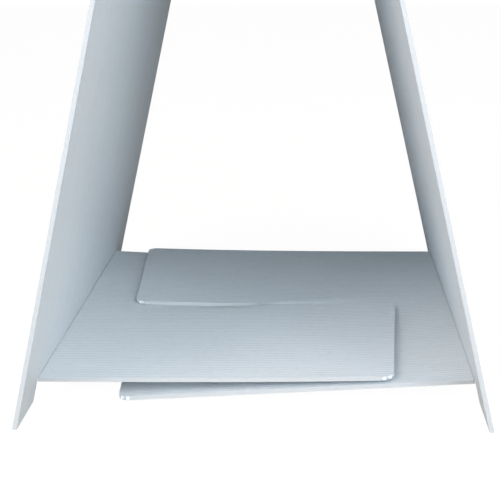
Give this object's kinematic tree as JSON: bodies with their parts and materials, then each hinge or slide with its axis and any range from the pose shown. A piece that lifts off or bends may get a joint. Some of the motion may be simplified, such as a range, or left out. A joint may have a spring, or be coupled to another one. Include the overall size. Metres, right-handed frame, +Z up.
{
  "type": "folding sawhorse",
  "caption": "Low-cost folding sawhorse of white twin-wall plastic board, two leaning leg panels under a narrow lapped top, with interlocking shelf flaps near the floor.",
  "frame": {"origin": "centre of the footprint on the floor", "axes": "X across from the left leg panel to the right, Y from the front edge to the rear, Z up"},
  "size_m": [0.4312, 0.61, 0.712],
  "materials": {
    "board": "satin white twin-wall polypropylene with faint flute lines",
    "crease": "scored and folded board skin, slightly whitened",
    "rivet": "moulded white nylon, satin"
  },
  "bodies": {
    "left_leg": {"left_leg_panel": "board", "left_ridge_crease": "crease", "left_flap_crease": "crease"},
    "top": {"upper_top_ply": "board", "lower_top_ply": "board", "right_ridge_crease": "crease", "rivet_sockets": "rivet", "rivet_pins": "rivet"},
    "right_leg": {"right_leg_panel": "board", "right_flap_crease": "crease"},
    "left_flap": {"left_shelf_flap": "board", "left_under_tongue": "board"},
    "right_flap": {"right_shelf_flap": "board", "right_under_tongue": "board"},
    "left_tongue": {"left_over_tongue": "board"},
    "right_tongue": {"right_over_tongue": "board"}
  },
  "joints": [
    {"name": "top_fold", "type": "hinge", "parent": "left_leg", "child": "top", "pos_m": [-0.04808, 0, 0.70804], "axis": [0, -1, 0], "range_deg": [0, 76.8], "deforming": ["left_ridge_crease"]},
    {"name": "right_leg_fold", "type": "hinge", "parent": "top", "child": "right_leg", "pos_m": [0.049, 0, 0.70404], "axis": [0, -1, 0], "range_deg": [-98.6, 0], "deforming": ["right_ridge_crease"]},
    {"name": "left_flap_fold", "type": "hinge", "parent": "left_leg", "child": "left_flap", "pos_m": [-0.206, 0, 0.024], "axis": [0, -1, 0], "range_deg": [0, 76.3], "deforming": ["left_flap_crease", "left_under_tongue"]},
    {"name": "right_flap_fold", "type": "hinge", "parent": "right_leg", "child": "right_flap", "pos_m": [0.206, 0, 0.024], "axis": [0, -1, 0], "range_deg": [-76.3, 0], "deforming": ["right_flap_crease", "right_under_tongue"]},
    {"name": "left_tongue_flex", "type": "hinge", "parent": "left_flap", "child": "left_tongue", "pos_m": [-0.017, -0.118, 0.0245], "axis": [0, 1, 0], "range_deg": [-30, 0], "stiffness_Nm_per_rad": 0.5, "deforming": ["left_over_tongue"]},
    {"name": "right_tongue_flex", "type": "hinge", "parent": "right_flap", "child": "right_tongue", "pos_m": [0.017, 0.118, 0.0245], "axis": [0, -1, 0], "range_deg": [-30, 0], "stiffness_Nm_per_rad": 0.5, "deforming": ["right_over_tongue"]}
  ],
  "couplings": [
    {"joint": "right_leg_fold", "follows": "top_fold", "ratio": -1.2825},
    {"joint": "left_flap_fold", "follows": "top_fold", "ratio": 0.9922},
    {"joint": "right_flap_fold", "follows": "top_fold", "ratio": -0.9922}
  ]
}
